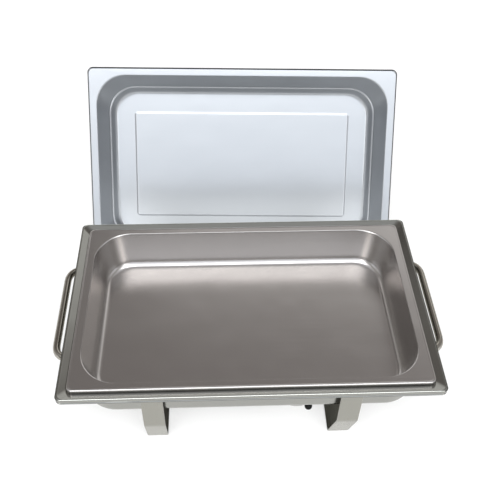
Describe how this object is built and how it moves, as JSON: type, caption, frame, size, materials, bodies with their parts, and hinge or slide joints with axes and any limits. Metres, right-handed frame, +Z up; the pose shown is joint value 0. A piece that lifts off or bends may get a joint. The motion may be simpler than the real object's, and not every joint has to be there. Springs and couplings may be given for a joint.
{
  "type": "chafing dish",
  "caption": "Rectangular full-size chafing dish on sled legs, with a lift-out food pan, a water pan, a loose lid standing behind it and burners with swing covers.",
  "frame": {"origin": "middle of the whole object's footprint, at table level", "axes": "+Z up; +X to the dish's right, along its long sides; +Y to the back, from the dish towards the lid"},
  "size_m": [0.5986, 0.6276, 0.3091],
  "materials": {
    "pan_steel": "satin, grain along the length",
    "basin_steel": "satin, polished rim",
    "lid_steel": "satin",
    "strip_steel": "satin, grain along the strip",
    "rod_steel": "polished",
    "cup_steel": "satin",
    "black_plastic": "gloss, heat-resistant"
  },
  "bodies": {
    "base": {"water_pan": "basin_steel", "leg_left": "strip_steel", "leg_right": "strip_steel", "side_handle_left": "rod_steel", "side_handle_right": "rod_steel", "handle_plate_left": "strip_steel", "handle_plate_right": "strip_steel"},
    "food_pan": {"food_pan": "pan_steel"},
    "lid": {"lid_shell": "lid_steel", "lid_handle": "rod_steel", "lid_handle_foot_left": "rod_steel", "lid_handle_foot_right": "rod_steel"},
    "burner_left": {"fuel_cup_left": "cup_steel", "pivot_bracket_left": "cup_steel", "pivot_rivet_left": "strip_steel"},
    "cover_left": {"snuffer_left": "cup_steel", "snuffer_knob_left": "black_plastic"},
    "burner_right": {"fuel_cup_right": "cup_steel", "pivot_bracket_right": "cup_steel", "pivot_rivet_right": "strip_steel"},
    "cover_right": {"snuffer_right": "cup_steel", "snuffer_knob_right": "black_plastic"}
  },
  "joints": [
    {"name": "food_pan_lift", "type": "slide", "parent": "base", "child": "food_pan", "axis": [0, 0, 1], "range_m": [0, 0.12]},
    {"name": "lid_lift", "type": "slide", "parent": "base", "child": "lid", "axis": [0, 0, 1], "range_m": [0, 0.2]},
    {"name": "burner_left_pull", "type": "slide", "parent": "base", "child": "burner_left", "axis": [0, -1, 0], "range_m": [0, 0.25]},
    {"name": "cover_left_turn", "type": "hinge", "parent": "burner_left", "child": "cover_left", "pos_m": [-0.08831, -0.19322, 0.0576], "axis": [0, 0, -1], "range_deg": [0, 105]},
    {"name": "burner_right_pull", "type": "slide", "parent": "base", "child": "burner_right", "axis": [0, -1, 0], "range_m": [0, 0.25]},
    {"name": "cover_right_turn", "type": "hinge", "parent": "burner_right", "child": "cover_right", "pos_m": [0.08679, -0.2508, 0.0576], "axis": [0, 0, 1], "range_deg": [0, 105]}
  ]
}
